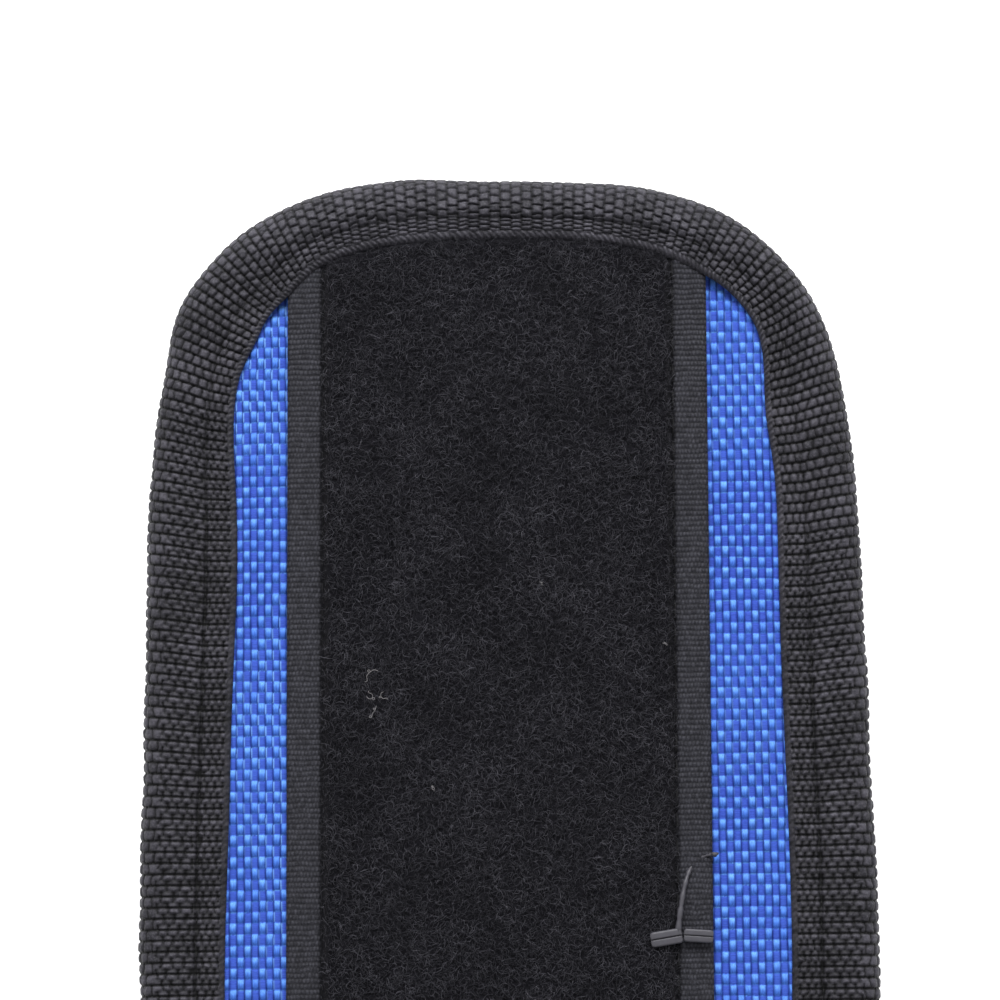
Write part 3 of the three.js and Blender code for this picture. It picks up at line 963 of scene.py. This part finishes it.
# Padded lining and hook tape


# Holes of the spacer mesh, and steps of the lining's surface along and across it
MESH_PITCH = 2.5
MESH_ROW = MESH_PITCH * 0.75
LINING_STEP = 0.42
LINING_COLUMNS = 170


def lining_floor(x, y):
    """Height, tone and painted shade share of the inner face: knitted spacer mesh, drawn up at the binding."""
    share = lip_share(x, y)
    rise = 1.32 * smooth((share - 0.93) / 0.07)
    hooks = smooth((TAPE_HALF + 0.6 - np.abs(x)) / 0.6) * smooth((HOOK_TAPE_START + 0.3 - y) / 0.6)
    rise = np.maximum(rise, (HOOK_TAPE_TOP + 0.12) * hooks)
    row = np.floor(y / MESH_ROW)
    column = x / MESH_PITCH + 0.5 * np.mod(row, 2)
    dx = (column - np.round(column)) * MESH_PITCH
    dy = y - (row + 0.5) * MESH_ROW
    hole = smooth((0.95 - np.hypot(dx, dy * 1.15)) / 0.45)
    knit = 0.5 + 0.5 * np.sin(2 * np.pi * x / 0.62) * np.sin(2 * np.pi * y / 0.5)
    soft = 0.18 * (1 + ripple(x, y, 40, 41)) * (1 - smooth((share - 0.6) / 0.3)) * (1 - hooks)
    height = rise + (0.55 * hole + 0.03 * knit) * (1 - hooks) * (1 - smooth((share - 0.97) / 0.03)) + soft
    # The holes of the mesh get painted shade
    return height, 0.3 + 0.5 * knit, 0.9 * hole


def lining_piece(number, material):
    """One stretch of the padded lining."""
    first, last = span(number, 7, 7)
    rows = np.linspace(first, last, round((first - last) / LINING_STEP))
    share = np.linspace(-1, 1, LINING_COLUMNS)
    y = np.repeat(rows[:, None], len(share), 1)
    x = share * np.minimum(inset_half_width(y, 3.6), LIP_INNER + 5)
    height, tone, pit = lining_floor(x, y)
    piece = band(f"spacer_lining_{number:02d}", x, y, height, LINING_TOP, tone=tone, pit=pit)
    finish_piece(piece, number, "padded_lining", material, *stands_for("padded_lining", number))


HOOK_FLOOR = 0.72
HOOK_PITCH = 1.3


def hook_tape_piece(number, webbing, plastic):
    """One stretch of the hook tape on the inner face, with its rows of hooks."""
    first = HOOK_TAPE_START if number == HOOK_FIRST else MIDDLES[number]
    across = np.linspace(-TAPE_HALF, TAPE_HALF, 120)
    if number == LAST:
        last = -TIP + lip_depth(across) + 0.3
    else:
        last = np.full(len(across), MIDDLES[number + 1])
    share = np.linspace(0, 1, round((first - last.min()) / 0.3))[:, None]
    y = first + (last - first) * share
    x = np.broadcast_to(across, y.shape)
    bars = np.sin(2 * np.pi * y / 0.9) * np.sin(2 * np.pi * x / 0.9)
    # Painted shade in the hollows between the tape's bars
    piece = band(f"hook_tape_band_{number:02d}", x, y, HOOK_FLOOR + 0.05 * bars, HOOK_TAPE_TOP,
                 tone=0.5 + 0.5 * bars, pit=np.clip(0.3 + 0.3 * bars, 0, 1))
    finish_piece(piece, number, "hook_tape", webbing, f"hook_tape_{number + 1:02d}")
    columns = np.arange(-GROOVE, GROOVE, HOOK_PITCH)
    rows = np.arange(first - 0.6, last.min(), -HOOK_PITCH)
    cx, cy = (values.ravel() for values in np.meshgrid(columns, rows))
    kept = cy > np.interp(cx, across, last) + 0.8
    cx, cy = cx[kept], cy[kept]
    turn = np.radians([0, 45, 90, 135, 180, 225])
    hook = np.stack([0.26 - 0.26 * np.cos(turn), 0.40 + 0.30 * np.sin(turn)], axis=-1)
    hook = np.concatenate([[[0, -0.03]], hook])
    facing = np.where(np.round(cx / HOOK_PITCH) % 2 == 0, 1.0, -1.0)
    px = cx[:, None] + 0 * hook[:, 0]
    py = cy[:, None] + facing[:, None] * hook[:, 0]
    pz = HOOK_FLOOR - hook[:, 1] + 0 * py
    piece = strands(f"hook_rows_{number:02d}", np.stack([px, py, pz], axis=-1), 0.075, 5)
    finish_piece(piece, number, "hook_tape", plastic)


# Seam threads


# Pitch along straight seams and round the binding, and length, depth and shares of one stitch
STITCH_PITCH = 3.1
EDGE_STITCH_PITCH = 3.2
STITCH_LENGTH = 2.5
STITCH_SHARES = np.linspace(-0.5, 0.5, 7)
STITCH_ARC = 0.42 * np.abs(2 * STITCH_SHARES) ** 3


def stitches(start, end, height):
    """Arcs of thread from start to end, each a path of seven points; height gives the surface."""
    start, end = np.array(start, float), np.array(end, float)
    run = np.linalg.norm(end - start)
    count = int(run // STITCH_PITCH)
    centre = (np.arange(count) + 0.5) / count
    places = centre[:, None] + STITCH_SHARES * STITCH_LENGTH / run
    points = start + (end - start) * places[..., None]
    z = height(points[..., 0], points[..., 1]) + 0.16 - STITCH_ARC
    return np.concatenate([points, z[..., None]], axis=-1)


def binding_stitches(number):
    """Thread in the binding's sunk seam, on both faces."""
    paths = []
    for first, last in edge_runs(number):
        count = int((last - first) // EDGE_STITCH_PITCH)
        centre = first + (np.arange(count) + 0.5) * (last - first) / count
        x, y, nx, ny, lip = edge_at(centre[:, None] + STITCH_SHARES * STITCH_LENGTH)
        inward = lip - stitch_line(lip)
        x, y = x + nx * inward, y + ny * inward
        upper = LIP_TOP - 0.56 - lip_sink(inward) + lip_lift(x, y, inward) - STITCH_ARC
        lower = np.broadcast_to(LIP_BOTTOM + 0.30 + STITCH_ARC, x.shape)
        paths += [np.stack([x, y, level], axis=-1) for level in (upper, lower)]
    return paths


def in_rows(paths, number):
    """Only the stitches whose middle lies between this piece's cuts."""
    high, low = span(number)
    middle = paths[:, len(STITCH_SHARES) // 2, 1]
    return paths[(middle <= high) & (middle > low)]


def face_stitches():
    """Thread on the outer face: the loop tape's sides and end, and the pockets over the magnets."""
    paths = []

    def groove_height(x, y):
        return tape_top(x - tape_drift(y), y)[0] - 0.22

    for side in (-1, 1):
        first = [side * GROOVE + tape_drift(TIP), TIP - LIP_TIP - 3]
        last = [side * GROOVE + tape_drift(LOOP_TAPE_END), LOOP_TAPE_END + 1]
        paths.append(stitches(first, last, groove_height))
    across = TAPE_HALF - 1
    row = LOOP_TAPE_END + 2
    drift = tape_drift(row)
    paths.append(stitches([drift - across, row], [drift + across, row], groove_height))
    rows = [EDGES[MAGNET_SECTIONS[0] - 1] - 1.6] + [EDGES[section] for section in MAGNET_SECTIONS]
    paths += [stitches([-LIP_INNER, row], [LIP_INNER, row], cloth_base) for row in rows]
    paths.append(stitches([0, rows[0]], [0, rows[-1]], cloth_base))
    return np.concatenate(paths)


def hook_stitches():
    """Thread along the hook tape's sides and start."""
    paths = []

    def level(x, y):
        return 0 * x + HOOK_FLOOR

    side = TAPE_HALF - SELVAGE / 2
    for x in (-side, side):
        paths.append(stitches([x, HOOK_TAPE_START - 1], [x, -TIP + lip_depth(side) + 1], level))
    row = HOOK_TAPE_START - 1.2
    paths.append(stitches([-side, row], [side, row], level))
    found = np.concatenate(paths)
    found[..., 2] = 2 * HOOK_FLOOR - found[..., 2]
    return found


def thread_piece(number, face, hook, material):
    """The seams' thread over one stretch of the strap."""
    found = binding_stitches(number) + [in_rows(face, number), in_rows(hook, number)]
    piece = strands(f"seam_thread_{number:02d}", np.concatenate(found), 0.14, 6)
    finish_piece(piece, number, "binding", material)


# Tag pin and lint

PIN_PIECE = 3
BAR_WIDTH, BAR_HEIGHT, BAR_LENGTH = 2.1, 0.9, 7.3
BAR_SLOT, BAR_SLOT_DEPTH = 0.08, 0.42
BAR_STATIONS = np.array([0.12, 0.2, 0.35, 1.2, 2.4, 3.4, 3.68, 3.8])
BAR_SCALES = np.array([0.72, 0.88, 1, 1, 1, 1, 0.93, 0.75])
# Each half of the bar: side, turn in degrees, thickness and length
BAR_HALVES = ((-1, 9, 0.85, 1.0), (1, -4, 0.72, 0.93))
FILAMENT = np.array([[-0.55, 0.2, 0], [-0.45, 1.6, 0.1], [-0.2, 3.2, 0.12], [0.1, 4.9, -0.02], [0.45, 6.3, -0.22],
                     [0.85, 7.4, -0.55], [1.3, 8.2, -1.05], [2.2, 9.0, -1.05], [3.2, 9.3, -0.5], [3.9, 9.35, -0.15]])
# Heights and radii of the torn end
NUB = ((-0.3, 0.1), (-0.2, 0.22), (0, 0.3), (0.18, 0.2), (0.26, 0.08))


def pin_bar(centre):
    """The slotted bar in two halves."""
    half, slot = BAR_WIDTH / 2, BAR_SLOT
    rim = [[slot, 0.45 - BAR_SLOT_DEPTH], [slot, 0.38], [slot + 0.03, 0.43], [slot + 0.1, 0.45],
           [slot + 0.22, 0.455], [half - 0.32, 0.455], [half - 0.16, 0.43], [half - 0.04, 0.33], [half, 0.2],
           [half, -0.30], [half - 0.2, -0.45]]
    profile = np.array([[-x, z] for x, z in rim[::-1]] + rim)
    runs = []
    for side, turn, size, reach in BAR_HALVES:
        along = np.repeat(side * reach * BAR_STATIONS[:, None], len(profile), 1)
        across, up = (profile[:, axis] * BAR_SCALES[:, None] * size for axis in (0, 1))
        cos, sin = math.cos(math.radians(turn)), math.sin(math.radians(turn))
        runs.append(np.stack([along * cos - across * sin, along * sin + across * cos, up], axis=-1) + centre)
    return skin("tag_pin_bar", runs)


def pin_path(centre):
    """The filament's smoothed route."""
    share = np.linspace(0, len(FILAMENT) - 1, 40)
    path = np.stack([np.interp(share, np.arange(len(FILAMENT)), part) for part in FILAMENT.T], axis=-1)
    inner = np.stack([np.convolve(part, np.ones(5) / 5, "valid") for part in path.T], axis=-1)
    return np.concatenate([path[:1], inner, path[-1:]]) + centre


def pin_nub(end):
    """The torn end of the filament."""
    angle = np.linspace(0, 2 * np.pi, 12, endpoint=False)
    rings = []
    for height, radius in NUB:
        ragged = radius * (1 + 0.22 * np.sin(angle * 3 + height * 9))
        rings.append(np.stack([1.5 * ragged * np.cos(angle), ragged * np.sin(angle), np.full(12, height)], axis=-1))
    return skin("tag_pin_nub", [np.array(rings) + end])


def tag_pin_piece(material):
    """A cut-off tag pin: its bar, its flattened filament and the torn end."""
    centre = PIN_LOW + np.array([BAR_LENGTH / 2 - 0.75, BAR_WIDTH / 2 + 0.25, BAR_HEIGHT / 2])
    finish_piece(pin_bar(centre), PIN_PIECE, "tag_pin", material, "tag_pin")
    path = pin_path(centre)
    knots = np.arange(len(path))
    radius = 0.36 + 0.05 * np.sin(knots * 1.3) + 0.04 * np.sin(knots * 2.9) - 0.22 * np.linspace(0, 1, len(path))
    finish_piece(strands("tag_pin_filament", path[None], radius[None], 8), PIN_PIECE, "tag_pin", material)
    finish_piece(pin_nub(path[-1]), PIN_PIECE, "tag_pin", material)


# Lint: place across, distance from the tip, size and turns of each fibre
LINT = ((-16.6, 60.3, 0.9, 9), (-15.2, 63.2, 0.8, -11), (-16.0, 61.5, 0.7, 7), (-14.0, 62.6, 0.6, 8),
        (18.6, 56.2, 0.35, 5), (-8.6, 73.4, 0.4, 6), (4.2, 48.8, 0.3, 4))


def lint_piece(material):
    """A few pale fibres caught in the pile."""
    paths = []
    share = np.linspace(0, 1, 40)
    for x, from_tip, size, loops in LINT:
        angle = random.uniform(0, 6) + loops * share + 1.6 * np.sin(share * 11)
        step = size * 4 / len(share)
        px = x + np.cumsum(np.cos(angle)) * step
        py = TIP - from_tip + np.cumsum(np.sin(angle)) * step
        paths.append(np.stack([px, py, PILE_TOP + 0.02 + 0.12 * np.sin(share * 9)], axis=-1))
    piece = strands("lint", np.array(paths), 0.03, 4)
    finish_piece(piece, 2, "loop_tape", material)


# Camera, floor and lights


def build_stage():
    """White floor, white world and soft light from beyond the tip."""
    scene = bpy.context.scene
    scene.view_settings.view_transform = "Standard"
    mesh = bpy.data.meshes.new("floor")
    size = 3.0
    mesh.from_pydata([(-size, -size, 0), (size, -size, 0), (size, size, 0), (-size, size, 0)], [], [(0, 1, 2, 3)])
    floor = bpy.data.objects.new("floor", mesh)
    floor.location = (0, 0, -0.0002)
    scene.collection.objects.link(floor)
    shader = new_shader("floor_white")
    tree = shader.tree
    diffuse = shader.node("BsdfDiffuse", Color=(0.9, 0.9, 0.9))
    reach = shader.node("VectorMath", operation="LENGTH", i0=shader.node("NewGeometry").outputs["Position"])
    strength = shader.ranged(reach.outputs["Value"], 0.25, 0.7, 0.6, 1)
    glow = shader.node("Emission", Color=(1, 1, 1), Strength=strength)
    dark = shader.node("Emission", Color=(0, 0, 0), Strength=0.0)
    chosen = shader.node("MixShader", i0=shader.seen(), i1=dark.outputs[0], i2=glow.outputs[0])
    both = shader.node("AddShader", i0=diffuse.outputs[0], i1=chosen.outputs[0])
    shader.plug(tree.nodes["Material Output"].inputs["Surface"], both.outputs[0])
    tree.nodes.remove(shader.surface)
    floor.data.materials.append(shader.owner)

    scene.world = bpy.data.worlds.new("studio")
    sky = Shader(scene.world)
    plain = sky.tree.nodes["Background"]
    sky.plug(plain.inputs["Color"], (0.97, 0.98, 1))
    sky.plug(plain.inputs["Strength"], 0.24)
    white = sky.node("Background", Color=(1, 1, 1))
    mixed = sky.node("MixShader", i0=sky.seen(), i1=plain.outputs[0], i2=white.outputs[0])
    sky.plug(sky.tree.nodes["World Output"].inputs["Surface"], mixed.outputs[0])

    def lamp(name, place, target, size, power):
        light = bpy.data.lights.new(name, "AREA")
        light.shape = "RECTANGLE"
        light.size, light.size_y = size
        light.energy = power
        made = bpy.data.objects.new(name, light)
        made.location = place
        direction = np.array(target) - np.array(place)
        pitch = math.atan2(math.hypot(direction[0], direction[1]), -direction[2])
        made.rotation_euler = (pitch, 0, math.atan2(direction[1], direction[0]) - math.pi / 2)
        scene.collection.objects.link(made)

    lamp("key", (0.0, 1.05, 0.75), (0, 0.1, 0), (0.9, 0.45), 21.0)
    lamp("fill_left", (-0.9, 0.1, 0.8), (0, 0.1, 0), (0.8, 0.8), 1.6)
    lamp("fill_right", (0.9, -0.2, 0.8), (0, 0.1, 0), (0.8, 0.8), 1.6)


# The photograph's view: its middle lies this far from the loop tip, and the camera leans back a little
CAMERA_DISTANCE = 0.45
CAMERA_LEAN = math.radians(7.35)
CAMERA_ROLL = math.radians(-0.65)
FOCAL_SHARE = 3.7875
SENSOR = 36
AIM_HEIGHT = 5.5
AIM_FROM_TIP = 38.86
AIM_ASIDE = -1.06


def build_camera():
    """The photograph's camera."""
    data = bpy.data.cameras.new("camera")
    data.sensor_width = SENSOR
    data.lens = FOCAL_SHARE * data.sensor_width
    camera = bpy.data.objects.new("camera", data)
    aim = np.array([AIM_ASIDE, TIP - AIM_FROM_TIP, AIM_HEIGHT]) * UNIT
    back = np.array([0, -math.sin(CAMERA_LEAN), math.cos(CAMERA_LEAN)]) * CAMERA_DISTANCE
    camera.location = aim + back
    camera.rotation_mode = "XYZ"
    camera.rotation_euler = (CAMERA_LEAN, 0, CAMERA_ROLL)
    bpy.context.scene.collection.objects.link(camera)
    bpy.context.scene.camera = camera


# Webbings: dark and light yarn, the painted shade between the yarns, and roughness
WEBBINGS = {
    "binding_webbing": ((0.031, 0.030, 0.037), (0.094, 0.090, 0.110), (0.0008, 0.0008, 0.0012), 0.48),
    "tape_webbing": ((0.011, 0.011, 0.015), (0.068, 0.068, 0.084), (0.003, 0.003, 0.005), 0.62),
    "spacer_mesh": ((0.016, 0.016, 0.018), (0.055, 0.055, 0.060), (0.004, 0.004, 0.005), 0.8),
    "thread": ((0.006, 0.006, 0.007), (0.016, 0.016, 0.018), (0.006, 0.006, 0.006), 0.7),
}


def main():
    """Builds the stage and every piece; the order of the pieces sets their random draws."""
    build_camera()
    build_stage()
    cloth = cloth_material()
    webbing, selvage, mesh_knit, thread = (webbing_material(name, *look) for name, look in WEBBINGS.items())
    pile = pile_material("loop_pile", (0.006, 0.006, 0.008), (0.185, 0.182, 0.214))
    felt = pile_material("loop_felt", (0.0022, 0.0022, 0.0032), (0.030, 0.029, 0.037))
    lint = plastic_material("lint_white", (0.30, 0.29, 0.30), 0.7, 0.2)
    pin = plastic_material("tag_pin_plastic", (0.056, 0.054, 0.067), 0.5, 0.5)
    hooks = plastic_material("hook_plastic", (0.02, 0.02, 0.022), 0.4, 0.1)
    plating = plating_material()
    face, under = face_stitches(), hook_stitches()
    for number in range(1, SECTIONS):
        cloth_piece(number, cloth)
        binding_piece(number, webbing)
        lining_piece(number, mesh_knit)
        thread_piece(number, face, under, thread)
        if number <= FINE_PIECES:
            loop_tape_piece(number, selvage, felt, pile)
        if number >= HOOK_FIRST:
            hook_tape_piece(number, selvage, hooks)
    tag_pin_piece(pin)
    lint_piece(lint)
    for name, node in frame["nodes"].items():
        if name.startswith("magnet_"):
            node.data.materials.clear()
            node.data.materials.append(plating)


main()
